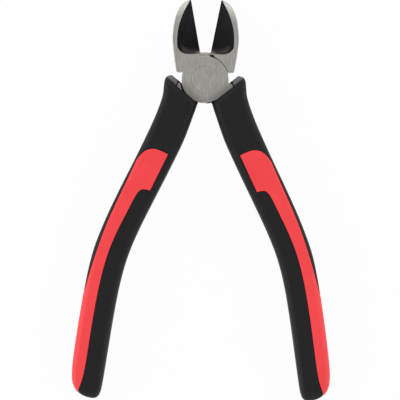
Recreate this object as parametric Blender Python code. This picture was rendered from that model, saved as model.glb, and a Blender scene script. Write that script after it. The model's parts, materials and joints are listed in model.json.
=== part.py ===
"""Diagonal cutter, 160 mm long: two equal forged steel levers, lapped and riveted, with moulded grips.

The tool lies on its side, jaws towards +Y, and Z = 0 is the surface under the grips.
Each half is modelled in its lever frame: pivot at the origin, Z = 0 in the lap plane, the
cutting edge about a degree off +Y, the jaw on -X and the tang on +X.
The rear half is the same forging and the same grip, turned half a turn about the tool's length.
"""

import math

import bmesh
import bpy
from mathutils import Matrix, Vector

MM = 0.001

# Driving dimensions of the joint and the pose
HEAD_THICKNESS = 10.5 * MM
HALF_HEAD = HEAD_THICKNESS / 2
HALF_OPENING = math.radians(11.8)
EDGE_ANGLE = math.radians(88.9)
DISC_RADIUS = 9.05 * MM
SHOULDER_RADIUS = 9.5 * MM
LAP_GAP = 0.1 * MM
RUN_GAP = 0.08 * MM
CIRCLE_STEPS = 64
FULL_CIRCLE = 2 * math.pi * (1 - 1 / CIRCLE_STEPS)
RIM_JOIN = math.radians(2.0)
CUT_PAST = 2.0 * MM
SMOOTH_UP_TO = math.radians(30)

# The throat: a low tongue on each lever fills the space under the edges,
# and slides into a pocket under the other lever's jaw as the tool closes
TONGUE_RADIUS = 10.6 * MM
TONGUE_HEIGHT = 2.2 * MM
TONGUE_FOOT = 0.6 * MM
TONGUE_ANGLE = math.radians(19.0)
TONGUE_JOIN = math.radians(1.0)
TONGUE_STEPS = 6
POCKET_RADIUS = 10.9 * MM
POCKET_ANGLE = math.radians(19.6)

# The jaw
TIP_Y = 31.4 * MM
EDGE_RELIEF = 0.03 * MM
EDGE_LAND = 0.1 * MM
TIP_HALF_THICKNESS = 0.4 * MM
NOSE_START_Y = 12.7 * MM
NOSE_RADIUS = 37.5 * MM
NOSE_STEPS = 16
JAW_BACK_STEPS = 3
BEVEL_RISE = 0.615
SCOOP_PAST_EDGE = 0.15 * MM
SCOOP_OUTER_X = -8.45 * MM
SCOOP_CORNER = 4.4 * MM
SCOOP_CORNER_STEPS = 8
SCOOP_END_AT_EDGE = 10.0 * MM
SCOOP_END_SLOPE = -0.16
SCOOP_WALL_RUN = 1.8 * MM

# The rivet
RIVET_RADIUS = 3.2 * MM
RIVET_HEAD_RADIUS = 5.2 * MM
RIVET_HEAD_DEPTH = 2.2 * MM

# The tang inside the grip
TANG_HALF_THICKNESS = 3.6 * MM
TANG_HALF_WIDTH_ROOT = 4.0 * MM
TANG_HALF_WIDTH_END = 3.2 * MM

# The grip
GRIP_HALF_DEPTH = 7.5 * MM
GRIP_WALL = 1.8 * MM
GRIP_CORNER_ACROSS = 4.2 * MM
GRIP_CORNER_DEEP = 5.0 * MM
MOST_ROUND = 0.8
GRIP_ARC_RADIUS = 9.6 * MM
FIT_GAP = 0.15 * MM
SPAN_STEPS = 2
CORNER_STEPS = 4

# The tool's middle plane above the surface, and the pivot ahead of the middle of its footprint
MID_Z = GRIP_HALF_DEPTH
PIVOT_Y = 46.09 * MM


def mm(*pairs):
    """Points given in millimetres."""
    return [Vector((x * MM, y * MM)) for x, y in pairs]


# Jaw silhouette from the tip down its back to the shoulder, then in to the disc
JAW_BACK = mm((-0.5, 31.35), (-2.5, 30.6), (-4.6, 28.6), (-6.6, 25.6),
              (-8.2, 21.8), (-9.35, 17.6), (-9.95, 13.0), (-10.22, 8.0))
JAW_SHOULDER = mm((-10.28, 6.0), (-10.15, 5.4), (-9.9, 5.1), (-9.4, 4.95), (-8.0, 4.6))

# Tang root, from under the disc round to its right side: as thick as the head, filling the grip's mouth
TANG_ROOT = mm((3.4, -8.3), (3.7, -11.0), (4.8, -14.9), (12.7, -11.0),
               (12.0, -8.0), (10.0, -5.2), (9.85, -3.4), (8.75, -2.95))

# Lines across the grip from its mouth to its tail: inner edge, outer edge and half the depth, in millimetres
GRIP_LINES = [
    ((0.80, -7.0), (13.15, -0.85), 2.6),
    ((0.85, -8.5), (14.70, -1.75), 4.65),
    ((0.85, -10.4), (15.30, -3.35), 6.55),
    ((1.12, -12.8), (15.12, -5.70), 7.1),
    ((1.50, -15.5), (14.78, -9.20), 7.2),
    ((2.10, -20.1), (15.15, -13.6), 7.35),
    ((3.10, -26.0), (16.40, -20.8), 7.5),
    ((5.85, -37.4), (19.25, -33.2), 7.5),
    ((9.15, -50.1), (22.70, -46.8), 7.5),
    ((12.2, -62.4), (25.65, -59.6), 7.5),
    ((14.1, -73.2), (27.70, -72.2), 7.5),
    ((14.7, -84.0), (28.05, -83.6), 7.5),
    ((14.42, -96.0), (27.50, -96.4), 7.5),
    ((13.78, -108.0), (26.75, -108.8), 7.5),
    ((13.2, -118.0), (25.90, -118.2), 7.5),
    ((12.95, -123.6), (24.70, -123.8), 7.3),
    ((13.10, -126.6), (22.90, -126.8), 6.7),
    ((13.90, -128.2), (20.80, -128.2), 5.6),
    ((15.20, -128.85), (18.90, -128.8), 4.2),
]
TANG_FIRST_LINE = 3.0
TANG_LAST_LINE = 13.0
CORE_ROOM_FIRST_LINE = 4.0
CORE_FIRST_LINE = 4.35
CORE_LAST_LINE = 15.4

# Red inlay in plan: a flag under the guard, and a stripe that runs off the outer edge near the tail
INLAY_HEAD = mm((7.6, -31.15), (10.3, -30.5), (13.2, -30.25), (15.6, -31.1), (17.4, -32.9), (18.9, -35.8))
INLAY_RIM = mm((20.7, -43.8), (23.05, -54.0), (24.95, -63.6), (26.25, -73.6), (27.0, -82.0), (28.3, -89.5))
INLAY_BEYOND = mm((33.0, -94.0), (33.0, -132.0), (22.6, -132.0))
INLAY_STRIPE = mm((21.6, -127.8), (20.85, -121.5), (21.1, -113.0), (21.75, -103.0), (22.25, -92.0),
                  (22.35, -82.0), (21.7, -72.5), (20.15, -64.0), (18.35, -56.9), (16.6, -50.3))
INLAY_STEP = mm((15.9, -48.3), (15.2, -47.1), (14.3, -46.4), (13.2, -46.15), (11.3, -46.2))


def clear_scene():
    for obj in list(bpy.data.objects):
        bpy.data.objects.remove(obj)


def material(name, colour, roughness, metallic):
    made = bpy.data.materials.new(name)
    made.use_nodes = True
    shader = made.node_tree.nodes["Principled BSDF"]
    shader.inputs["Base Color"].default_value = (*colour, 1.0)
    shader.inputs["Roughness"].default_value = roughness
    shader.inputs["Metallic"].default_value = metallic
    return made


def solid(name, points, faces):
    """A mesh object from its points and faces, with the faces turned outwards."""
    mesh = bpy.data.meshes.new(name)
    mesh.from_pydata([tuple(p) for p in points], [], faces)
    shape = bmesh.new()
    shape.from_mesh(mesh)
    bmesh.ops.recalc_face_normals(shape, faces=shape.faces)
    shape.to_mesh(mesh)
    shape.free()
    obj = bpy.data.objects.new(name, mesh)
    bpy.context.scene.collection.objects.link(obj)
    return obj


def loft(name, rings):
    """A solid through rings of equally many points, closed with a cap at each end."""
    count = len(rings[0])
    points = [p for ring in rings for p in ring]
    faces = [tuple(range(count)), tuple(range(len(points) - count, len(points)))]
    for r in range(len(rings) - 1):
        low, high = r * count, (r + 1) * count
        for i in range(count):
            j = (i + 1) % count
            faces.append((low + i, low + j, high + j))
            faces.append((low + i, high + j, high + i))
    return solid(name, points, faces)


def prism(name, outline, low, high):
    """An outline in X and Y, raised from one height to another."""
    return loft(name, [[Vector((p.x, p.y, z)) for p in outline] for z in (low, high)])


def turned(name, profile):
    """A solid turned about Z from a list of radius and height."""
    rings = []
    for radius, height in profile:
        rings.append([Vector((p.x, p.y, height)) for p in circle(radius)])
    return loft(name, rings)


def arc(radius, start, end, steps, centre=Vector((0.0, 0.0))):
    turns = [start + (end - start) * i / steps for i in range(steps + 1)]
    return [centre + radius * Vector((math.cos(turn), math.sin(turn))) for turn in turns]


def circle(radius):
    return arc(radius, 0.0, FULL_CIRCLE, CIRCLE_STEPS - 1)


def between(a, b, c, d, t):
    """The point at share t from b to c on a smooth curve through all four."""
    return b + 0.5 * t * (c - a + t * (2 * a - 5 * b + 4 * c - d + t * (3 * (b - c) + d - a)))


def smooth(stops, steps):
    """A curve through the stops, with that many steps between each two."""
    ends = [2 * stops[0] - stops[1], *stops, 2 * stops[-1] - stops[-2]]
    curve = []
    for a, b, c, d in zip(ends, ends[1:], ends[2:], ends[3:]):
        for i in range(steps):
            curve.append(between(a, b, c, d, i / steps))
    return [*curve, stops[-1].copy()]


def widened(outline, by):
    """The outline moved outwards by that much, for outlines that run anticlockwise or clockwise."""
    count = len(outline)
    area = sum(outline[i - 1].cross(outline[i]) for i in range(count))
    side = 1.0 if area > 0 else -1.0
    moved = []
    for i in range(count):
        before = (outline[i] - outline[i - 1]).normalized()
        after = (outline[(i + 1) % count] - outline[i]).normalized()
        normal = (before + after).normalized()
        out = side * Vector((normal.y, -normal.x))
        lean = out.dot(side * Vector((before.y, -before.x)))
        moved.append(outline[i] + out * (by / lean))
    return moved


def shaped(body, operation, *tools):
    """The body cut by, joined to or kept inside each tool in turn; the tools are used up."""
    for tool in tools:
        step = body.modifiers.new(tool.name, "BOOLEAN")
        step.operation = operation
        step.object = tool
    graph = bpy.context.evaluated_depsgraph_get()
    mesh = bpy.data.meshes.new_from_object(body.evaluated_get(graph))
    body.modifiers.clear()
    body.data = mesh
    for tool in tools:
        bpy.data.objects.remove(tool)


def along_edge(points):
    """Points drawn with the cutting edge on +Y, turned to where the edge lies."""
    turn = Matrix.Rotation(EDGE_ANGLE - math.pi / 2, 2)
    return [turn @ p for p in points]


def lever_outline():
    """The lever seen from its own side: edge, jaw back, shoulder, disc, tang root and disc again."""
    shoulder_end = JAW_SHOULDER[-1]
    root_start, root_end = TANG_ROOT[0], TANG_ROOT[-1]
    left = math.atan2(shoulder_end.y, shoulder_end.x)
    under = math.atan2(root_start.y, root_start.x) + 2 * math.pi
    right = math.atan2(root_end.y, root_end.x)
    edge = along_edge([Vector((-EDGE_RELIEF, y)) for y in (DISC_RADIUS, TIP_Y)])
    rim_left = arc(DISC_RADIUS, left + RIM_JOIN, under - RIM_JOIN, CIRCLE_STEPS // 2)
    rim_right = arc(DISC_RADIUS, right + RIM_JOIN, EDGE_ANGLE - RIM_JOIN, CIRCLE_STEPS // 4)
    back = smooth(JAW_BACK, JAW_BACK_STEPS)
    return [*edge, *back, *JAW_SHOULDER, *rim_left, *TANG_ROOT, *rim_right]


def nose_body():
    """Everything within the head's thickness, rounded down to the thin tips in side view."""
    lowest, highest = -TIP_Y - CUT_PAST, TIP_Y + CUT_PAST
    drop_end = HALF_HEAD - TIP_HALF_THICKNESS
    sweep = math.acos(1 - drop_end / NOSE_RADIUS)
    centre = Vector((NOSE_START_Y, HALF_HEAD - NOSE_RADIUS))
    nose = arc(NOSE_RADIUS, math.pi / 2, math.pi / 2 - sweep, NOSE_STEPS, centre)
    upper = [Vector((lowest, HALF_HEAD)), *nose, Vector((highest, TIP_HALF_THICKNESS))]
    profile = [*upper, *[Vector((p.x, -p.y)) for p in reversed(upper)]]
    return loft("nose_body", [[Vector((x, p.x, p.y)) for p in profile] for x in (lowest, highest)])


def scoop(side):
    """The ground hollow that makes one bevel, on the front (side 1) or the back (side -1) of the jaw."""
    right_x, top_y, top_z = SCOOP_PAST_EDGE, TIP_Y + CUT_PAST, HALF_HEAD + CUT_PAST
    end_turn = math.atan(SCOOP_END_SLOPE)
    rings = []
    for run, on_bevel in ((SCOOP_WALL_RUN, True), (0.0, False)):
        end_y = SCOOP_END_AT_EDGE + run
        corner_x = SCOOP_OUTER_X + SCOOP_CORNER
        above_end = SCOOP_CORNER * math.hypot(1.0, SCOOP_END_SLOPE)
        centre = Vector((corner_x, end_y + SCOOP_END_SLOPE * corner_x + above_end))
        corner = arc(SCOOP_CORNER, 1.5 * math.pi + end_turn, math.pi, SCOOP_CORNER_STEPS, centre)
        start = Vector((right_x, end_y + SCOOP_END_SLOPE * right_x))
        outline = [start, *corner, Vector((SCOOP_OUTER_X, top_y)), Vector((right_x, top_y))]
        heights = [EDGE_LAND - BEVEL_RISE * p.x if on_bevel else top_z for p in outline]
        rings.append([Vector((p.x, p.y, side * z)) for p, z in zip(along_edge(outline), heights)])
    return loft("scoop", rings)


def lap_bed():
    """What the lever gives up in the other lever's layer: the bed of the other disc."""
    return prism("lap_bed", circle(SHOULDER_RADIUS), -HALF_HEAD - CUT_PAST, LAP_GAP / 2)


def throat_piece(name, radius, start, end, low, high):
    """A piece of a flat ring round the disc, rooted a little way inside it."""
    outer = arc(radius, start, end, TONGUE_STEPS)
    inner = arc(DISC_RADIUS - TONGUE_FOOT, end, start, TONGUE_STEPS)
    return prism(name, [*outer, *inner], low, high)


def tongue():
    start, end = EDGE_ANGLE - TONGUE_ANGLE, EDGE_ANGLE + TONGUE_JOIN
    return throat_piece("tongue", TONGUE_RADIUS, start, end, LAP_GAP, TONGUE_HEIGHT)


def tongue_pocket():
    start, end = EDGE_ANGLE - TONGUE_JOIN, EDGE_ANGLE + POCKET_ANGLE
    return throat_piece("tongue_pocket", POCKET_RADIUS, start, end, -TONGUE_HEIGHT - LAP_GAP, 0.0)


def rivet_profile(gap, past):
    """Radius and height of the rivet from rear to front, grown by the gap and run past its faces."""
    shank, head = RIVET_RADIUS + gap, RIVET_HEAD_RADIUS + gap
    neck = HALF_HEAD - RIVET_HEAD_DEPTH
    lean = (RIVET_HEAD_RADIUS - RIVET_RADIUS) / RIVET_HEAD_DEPTH
    face, top = HALF_HEAD + past, head + lean * past
    return [(top, -face), (shank, -neck), (shank, neck), (top, face)]


def tang_bar():
    """The thin bar along the middle of the grip, drawn down towards its end."""
    ends = [grip_line(s) for s in stations(TANG_FIRST_LINE, TANG_LAST_LINE, SPAN_STEPS)]
    centre = [(inner + outer) / 2 for inner, outer, _ in ends]
    left, right = [], []
    for i, p in enumerate(centre):
        along = (centre[min(i + 1, len(centre) - 1)] - centre[max(i - 1, 0)]).normalized()
        across = Vector((-along.y, along.x))
        share = i / (len(centre) - 1)
        half = TANG_HALF_WIDTH_ROOT + share * (TANG_HALF_WIDTH_END - TANG_HALF_WIDTH_ROOT)
        left.append(p + across * half)
        right.append(p - across * half)
    return [*left, *reversed(right)]


def make_lever(steel):
    lever = prism("front_lever", lever_outline(), -HALF_HEAD - CUT_PAST, HALF_HEAD + CUT_PAST)
    shaped(lever, "INTERSECT", nose_body())
    hole = turned("rivet_hole", rivet_profile(RUN_GAP, CUT_PAST))
    shaped(lever, "UNION", tongue())
    shaped(lever, "DIFFERENCE", lap_bed(), tongue_pocket(), scoop(1), scoop(-1), hole)
    shaped(lever, "UNION", prism("tang_bar", tang_bar(), -TANG_HALF_THICKNESS, TANG_HALF_THICKNESS))
    lever.data.materials.clear()
    lever.data.materials.append(steel)
    return lever


def grip_line(at):
    """Inner edge, outer edge and half depth at a station, a whole number or a share between two lines."""
    values = [Vector((*a, *b)) for a, b, _ in GRIP_LINES]
    index = min(int(at), len(values) - 2)
    t = at - index
    a, b, c, d = (values[min(max(index + k, 0), len(values) - 1)] for k in (-1, 0, 1, 2))
    edges = between(a, b, c, d, t)
    depth = GRIP_LINES[index][2] * (1 - t) + GRIP_LINES[index + 1][2] * t
    return Vector(edges[:2]) * MM, Vector(edges[2:]) * MM, depth * MM


def grip_ring(at, inset):
    """The rounded section of the grip at a station, drawn in by inset on every side."""
    inner, outer, depth = grip_line(at)
    across = (outer - inner).normalized()
    middle = (inner + outer) / 2
    half = (outer - inner).length / 2 - inset
    depth -= inset
    round_x = min(GRIP_CORNER_ACROSS, MOST_ROUND * half)
    round_z = min(GRIP_CORNER_DEEP, MOST_ROUND * depth)
    ring = []
    for quarter, (sx, sz) in enumerate(((1, 1), (-1, 1), (-1, -1), (1, -1))):
        for i in range(CORNER_STEPS + 1):
            turn = math.pi / 2 * (quarter + i / CORNER_STEPS)
            x = sx * (half - round_x) + round_x * math.cos(turn)
            z = sz * (depth - round_z) + round_z * math.sin(turn)
            plan = middle + across * x
            ring.append(Vector((plan.x, plan.y, z)))
    return ring


def stations(first, last, steps):
    count = round((last - first) * steps)
    return [first + (last - first) * i / count for i in range(count + 1)]


def grip_body(name):
    return loft(name, [grip_ring(s, 0.0) for s in stations(0, len(GRIP_LINES) - 1, SPAN_STEPS)])


def core_body(name, first, gap):
    return loft(name, [grip_ring(s, GRIP_WALL - gap) for s in stations(first, CORE_LAST_LINE, SPAN_STEPS)])


def core_room():
    """The core's space in the pieces moulded over it, open to the grip's mouth."""
    return core_body("core_room", CORE_ROOM_FIRST_LINE, FIT_GAP)


def inlay_outline():
    rim = smooth([INLAY_HEAD[-1], *INLAY_RIM], SPAN_STEPS)[1:]
    return [*INLAY_HEAD, *rim, *INLAY_BEYOND, *smooth(INLAY_STRIPE, SPAN_STEPS), *INLAY_STEP]


def through_grip(name, outline):
    return prism(name, outline, -GRIP_HALF_DEPTH - CUT_PAST, GRIP_HALF_DEPTH + CUT_PAST)


def mouth_cutters():
    """The room in the grip's mouth for the lever's disc and tang root, and for the other lever's disc."""
    high = HALF_HEAD + FIT_GAP
    disc = prism("own_disc", circle(DISC_RADIUS + FIT_GAP), -high, high)
    root = prism("root_pocket", widened([Vector((0.0, 0.0)), *TANG_ROOT], 2 * FIT_GAP), -high, high)
    sweep = prism("other_disc", circle(GRIP_ARC_RADIUS), -HALF_HEAD - 2 * FIT_GAP, 0.0)
    return disc, root, sweep


def make_grip(names, finishes):
    """The hard core on the tang, the black shell round it, and the red inlay in the shell's window."""
    core = core_body(names[0], CORE_FIRST_LINE, 0.0)
    shell = grip_body(names[1])
    inlay = grip_body(names[2])
    high = TANG_HALF_THICKNESS + FIT_GAP
    shaped(core, "DIFFERENCE", prism("tang_room", widened(tang_bar(), FIT_GAP), -high, high))
    shaped(inlay, "INTERSECT", through_grip("inlay_outline", inlay_outline()))
    shaped(inlay, "DIFFERENCE", core_room())
    window = through_grip("window", widened(inlay_outline(), FIT_GAP))
    shaped(shell, "DIFFERENCE", core_room(), *mouth_cutters(), window)
    for piece, finish in zip((core, shell, inlay), finishes):
        piece.data.materials.clear()
        piece.data.materials.append(finish)
    return core, shell, inlay


def empty(name, rotation):
    made = bpy.data.objects.new(name, None)
    made.location = (0.0, PIVOT_Y, MID_Z)
    made.rotation_euler = rotation
    bpy.context.scene.collection.objects.link(made)
    return made


def twin(piece, name, parent):
    """The same piece again on the other half."""
    made = bpy.data.objects.new(name, piece.data)
    made.parent = parent
    bpy.context.scene.collection.objects.link(made)
    return made


def main():
    clear_scene()
    steel = material("ground_steel", (0.50, 0.49, 0.47), 0.38, 1.0)
    rivet_steel = material("rivet_steel", (0.52, 0.51, 0.49), 0.35, 1.0)
    core_black = material("core_black", (0.03, 0.03, 0.03), 0.55, 0.0)
    shell_black = material("shell_black", (0.022, 0.022, 0.024), 0.6, 0.0)
    inlay_red = material("inlay_red", (0.80, 0.06, 0.08), 0.5, 0.0)

    front = empty("front_half", (0.0, 0.0, HALF_OPENING))
    rear = empty("rear_half", (0.0, math.pi, -HALF_OPENING))

    lever = make_lever(steel)
    lever.parent = front
    twin(lever, "rear_lever", rear)

    rivet = turned("pivot_rivet", rivet_profile(0.0, 0.0))
    rivet.data.materials.append(rivet_steel)
    rivet.parent = front

    names = ("right_grip_core", "right_grip_shell", "right_grip_inlay")
    for piece in make_grip(names, (core_black, shell_black, inlay_red)):
        piece.parent = front
        twin(piece, piece.name.replace("right", "left"), rear)

    for obj in bpy.data.objects:
        if obj.type == "MESH":
            obj.data.shade_smooth()
            obj.data.set_sharp_from_angle(angle=SMOOTH_UP_TO)


main()
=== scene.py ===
"""Looks of the diagonal cutter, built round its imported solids.

The open tool lies on a white studio floor with its jaws towards +Y and is seen from straight above.
Both halves are equal, so each shape is drawn once, in millimetres and degrees, in the lever's own frame:
the pivot is the origin, the cutting edge lies on +Y, the jaw on -X and the grip on +X.
"""

import json
import math

import bmesh
import bpy
from mathutils import Euler, Matrix, Vector
from mathutils.geometry import delaunay_2d_cdt


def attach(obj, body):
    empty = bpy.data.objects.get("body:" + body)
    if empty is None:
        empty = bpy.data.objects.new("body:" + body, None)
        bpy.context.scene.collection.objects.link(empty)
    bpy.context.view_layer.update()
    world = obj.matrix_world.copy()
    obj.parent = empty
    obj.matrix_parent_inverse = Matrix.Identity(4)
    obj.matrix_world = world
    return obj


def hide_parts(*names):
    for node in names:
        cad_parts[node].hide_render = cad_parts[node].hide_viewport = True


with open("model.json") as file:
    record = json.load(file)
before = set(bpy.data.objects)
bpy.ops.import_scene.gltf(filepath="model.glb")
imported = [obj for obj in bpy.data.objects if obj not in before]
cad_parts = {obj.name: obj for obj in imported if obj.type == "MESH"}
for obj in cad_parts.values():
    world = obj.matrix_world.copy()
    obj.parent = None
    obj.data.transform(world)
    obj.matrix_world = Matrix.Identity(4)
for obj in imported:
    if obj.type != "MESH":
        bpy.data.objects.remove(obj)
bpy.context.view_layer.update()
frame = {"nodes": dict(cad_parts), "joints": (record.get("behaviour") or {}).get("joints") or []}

# Lever forgings
# Two equal drop-forged levers, each a jaw, half of the lapped joint and a tang in one piece of tool steel.
# Faces and backs are belt ground to satin; the cutting bevels are ground in and blackened.
MM = 0.001
PIVOT = Vector(frame["joints"][0]["pos_m"])
HALF_OPENING = math.radians(11.8)
HALVES = {
    "front_half": Matrix.Translation(PIVOT) @ Matrix.Rotation(HALF_OPENING, 4, "Z"),
    "rear_half": Matrix.Translation(PIVOT) @ Euler((0.0, math.pi, -HALF_OPENING)).to_matrix().to_4x4(),
}
CUT_PAST = 2.0
SMOOTH_UP_TO = math.radians(32)
MERGED_WITHIN = 1e-4
MATCHED_WITHIN = 1e-6
LEAST_LEAN = 0.4

# The head in side view: flat at the joint, rounded down to the tips
HALF_HEAD = 5.25
TIP_Y = 31.4
TIP_HALF_THICKNESS = 0.4
NOSE_START_Y = 12.7
NOSE_RADIUS = 37.5
NOSE_ROWS, NOSE_ROW_STEP = 38, 0.5
NOSE_COLUMNS, NOSE_COLUMN_STEP = 11, 0.9
NOSE_FIRST_X = -9.5

# The jaw in plan: cutting edge, outer edge from the tip down, and shoulder
EDGE_TURN = -1.1
EDGE_ANGLE = 90.0 + EDGE_TURN
EDGE_X = -0.03
EDGE_LAND = 0.1
JAW_BACK = [(-0.5, 31.35), (-2.7, 30.62), (-4.8, 28.65), (-6.7, 25.63),
            (-8.2, 21.8), (-9.35, 17.6), (-9.95, 13.0), (-10.22, 8.0)]
JAW_BACK_STEPS = 8
JAW_SHOULDER = [(-10.28, 6.0), (-10.15, 5.4), (-9.9, 5.1), (-9.4, 4.95), (-8.0, 4.6)]
TIP_EDGE_BREAK = 0.15
JAW_EDGE_BREAK = 0.28
JAW_BREAK_GROWTH = 0.05
EDGE_BREAK_STEPS = 5

# The hollow that is ground into a jaw and leaves a cutting bevel
BEVEL_RISE = 0.615
SCOOP_PAST_EDGE = 0.15
SCOOP_OUTER_X = -8.45
SCOOP_CORNER = 4.4
SCOOP_CORNER_STEPS = 20
SCOOP_END_Y = 10.0
SCOOP_END_SLOPE = -0.16
SCOOP_WALL_LEAN = 0.35

# The lap joint: the lever's disc, and the bed that the other disc turns in
DISC_RADIUS = 9.05
DISC_STEPS = 144
DISC_EDGE_BREAK = 0.2
HEEL_TAPER = 3.0
RIM_START, RIM_STOP, HEEL_STOP = 2.0, 1.0, 0.5
LEFT_RIM_STEPS, RIGHT_RIM_STEPS = 96, 60
RIM_FOOT_DROP = 0.045
RIM_FOOT_SHARPNESS = 24
BED_RADIUS = 9.2
BED_HEIGHT = 0.05
BED_FLARE = 0.65
BED_FLARE_SPAN = 30.0
HEEL_NICK = 0.45
HEEL_NICK_AT = 6.5
HEEL_NICK_SPAN = 5.0
ROOT_ROOM = 0.5
ROOT_ANGLES = (-75.0, -12.0)
ANGLE_SLACK = 0.01

# The tongue in the throat, and the pocket for the other lever's tongue
TONGUE_RADIUS = 10.72
TONGUE_SPAN = 19.0
TONGUE_HEIGHT = 2.2
TONGUE_EDGE_BREAK = 0.6
POCKET_RADIUS = 10.9
POCKET_ROOM = 0.6
THROAT_GAP = 0.1
THROAT_JOIN = 1.0
THROAT_ROOT = 0.6
THROAT_STEPS = 16

# The tang, which the grip is moulded on, and its root at the disc
TANG_ROOT = [(3.4, -8.3), (3.7, -11.0), (4.8, -14.9), (12.7, -11.0),
             (12.0, -8.0), (10.0, -5.2), (9.85, -3.65), (8.55, -3.05)]
TANG_LINE = [(8.1, -9.3), (8.6, -16.8), (9.75, -23.4), (12.5, -35.3), (15.9, -48.4),
             (18.9, -61.0), (20.9, -72.7), (21.4, -83.8), (21.0, -96.2), (20.3, -108.4)]
TANG_STEPS = 4
TANG_HALF_WIDTH = 4.0
TANG_TAPER = 0.8
TANG_HALF_THICKNESS = 3.6
TANG_CHAMFER = 0.6

# The rivet, which both levers are bored for
RIVET_RADIUS = 3.2
RIVET_HEAD_RADIUS = 5.2
RIVET_HEAD_DEPTH = 2.2
RIVET_GAP = 0.06
RIVET_STEPS = 96


def plan(pairs):
    """A list of points in plan."""
    return [Vector(p) for p in pairs]


def raised(outline, height):
    """An outline in plan brought to a height."""
    return [Vector((p.x, p.y, height)) for p in outline]


def arc(radius, start, end, steps, centre=(0.0, 0.0)):
    """Points on an arc from one angle to another."""
    turns = [math.radians(start + (end - start) * i / steps) for i in range(steps + 1)]
    return [Vector(centre) + radius * Vector((math.cos(t), math.sin(t))) for t in turns]


def circle(radius, steps, start=0.0):
    """That many points round the pivot, from an angle on."""
    return arc(radius, start, start + 360.0 * (1 - 1 / steps), steps - 1)


def angle_of(p):
    """The angle at which a point is seen from the pivot."""
    return math.degrees(math.atan2(p.y, p.x))


def between(a, b, c, d, t):
    """The point at share t from b to c on a smooth curve through all four."""
    return b + 0.5 * t * (c - a + t * (2 * a - 5 * b + 4 * c - d + t * (3 * (b - c) + d - a)))


def smooth(stops, steps):
    """A curve through the stops, with that many steps between each two."""
    ends = [2 * stops[0] - stops[1], *stops, 2 * stops[-1] - stops[-2]]
    curve = []
    for a, b, c, d in zip(ends, ends[1:], ends[2:], ends[3:]):
        curve += [between(a, b, c, d, i / steps) for i in range(steps)]
    return [*curve, stops[-1].copy()]


def drawn_in(outline, by):
    """An anticlockwise outline moved inwards, by its own distance at each point, with corners held back."""
    moved = []
    for i, p in enumerate(outline):
        before = (p - outline[i - 1]).normalized()
        after = (outline[(i + 1) % len(outline)] - p).normalized()
        along = (before + after).normalized()
        inward = Vector((-along.y, along.x))
        lean = max(inward.dot(Vector((-before.y, before.x))), LEAST_LEAN)
        moved.append(p + inward * (by[i] / lean))
    return moved


def solid(name, points, faces, finish):
    """A closed shape with its faces turned outwards."""
    mesh = bpy.data.meshes.new(name)
    mesh.from_pydata([tuple(p) for p in points], [], faces)
    mesh.materials.append(finish)
    work = bmesh.new()
    work.from_mesh(mesh)
    bmesh.ops.delete(work, geom=[v for v in work.verts if not v.link_faces], context="VERTS")
    bmesh.ops.remove_doubles(work, verts=work.verts, dist=MERGED_WITHIN)
    bmesh.ops.recalc_face_normals(work, faces=work.faces)
    work.to_mesh(mesh)
    work.free()
    made = bpy.data.objects.new(name, mesh)
    bpy.context.scene.collection.objects.link(made)
    return made


def loft(name, rings, finish):
    """A solid through rings of equally many points, capped at both ends."""
    count = len(rings[0])
    points = [p for ring in rings for p in ring]
    faces = [tuple(range(count)), tuple(range(len(points) - count, len(points)))]
    for r in range(len(rings) - 1):
        low, high = r * count, (r + 1) * count
        for i in range(count):
            j = (i + 1) % count
            faces.append((low + i, low + j, high + j))
            faces.append((low + i, high + j, high + i))
    return solid(name, points, faces, finish)


def prism(name, outline, low, high, finish):
    """A solid that is one outline from a low height to a high one."""
    return loft(name, [raised(outline, low), raised(outline, high)], finish)


def turned(name, profile, steps, finish):
    """A solid turned about the pivot from a list of radius and height."""
    return loft(name, [raised(circle(radius, steps), height) for radius, height in profile], finish)


def settled(body):
    """A body with its modifiers turned into a plain mesh."""
    graph = bpy.context.evaluated_depsgraph_get()
    mesh = bpy.data.meshes.new_from_object(body.evaluated_get(graph))
    body.modifiers.clear()
    body.data = mesh
    return body


def shaped(body, operation, *tools):
    """The body cut by, joined to or kept inside each tool; faces that a tool leaves wear its finish."""
    for tool in tools:
        step = body.modifiers.new(tool.name, "BOOLEAN")
        step.operation = operation
        step.object = tool
        step.material_mode = "TRANSFER"
    settled(body)
    for tool in tools:
        bpy.data.objects.remove(tool)
    return body


def nose_height(y):
    """Half the head's thickness at a distance from the pivot."""
    past = min(max(y - NOSE_START_Y, 0.0), NOSE_RADIUS)
    drop = NOSE_RADIUS - math.sqrt(NOSE_RADIUS ** 2 - past ** 2)
    return max(HALF_HEAD - drop, TIP_HALF_THICKNESS)


def ground_slab(name, outline, breaks, inside, finish):
    """An outline as thick as the head with its edges broken round; points inside carry the nose's curve."""
    count = len(outline)
    points, faces = [], []
    for k in range(EDGE_BREAK_STEPS + 1):
        turn = math.pi / 2 * k / EDGE_BREAK_STEPS
        ring = drawn_in(outline, [b * (1 - math.cos(turn)) for b in breaks])
        for p, b in zip(ring, breaks):
            points.append(Vector((p.x, p.y, nose_height(p.y) - b * (1 - math.sin(turn)))))
    for k in range(EDGE_BREAK_STEPS):
        low = k * count
        for i in range(count):
            j = (i + 1) % count
            faces.append((low + i, low + j, low + count + j, low + count + i))
    face_ring = [p.xy for p in points[-count:]]
    within_outline = 1
    flat = delaunay_2d_cdt([*face_ring, *inside], [], [list(range(count))], within_outline, MATCHED_WITHIN)
    first = len(points)
    points += [Vector((p.x, p.y, nose_height(p.y))) for p in flat[0]]
    faces += [tuple(first + i for i in face) for face in flat[2]]
    upper = len(points)
    points += [Vector((p.x, p.y, -p.z)) for p in points]
    faces += [tuple(upper + i for i in reversed(face)) for face in faces]
    faces += [(i, upper + i, upper + (i + 1) % count, (i + 1) % count) for i in range(count)]
    return solid(name, points, faces, finish)


def along_edge(points):
    """Points drawn with the cutting edge on +Y, turned to where the edge lies."""
    turn = Matrix.Rotation(math.radians(EDGE_TURN), 2)
    return [turn @ p for p in points]


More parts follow.
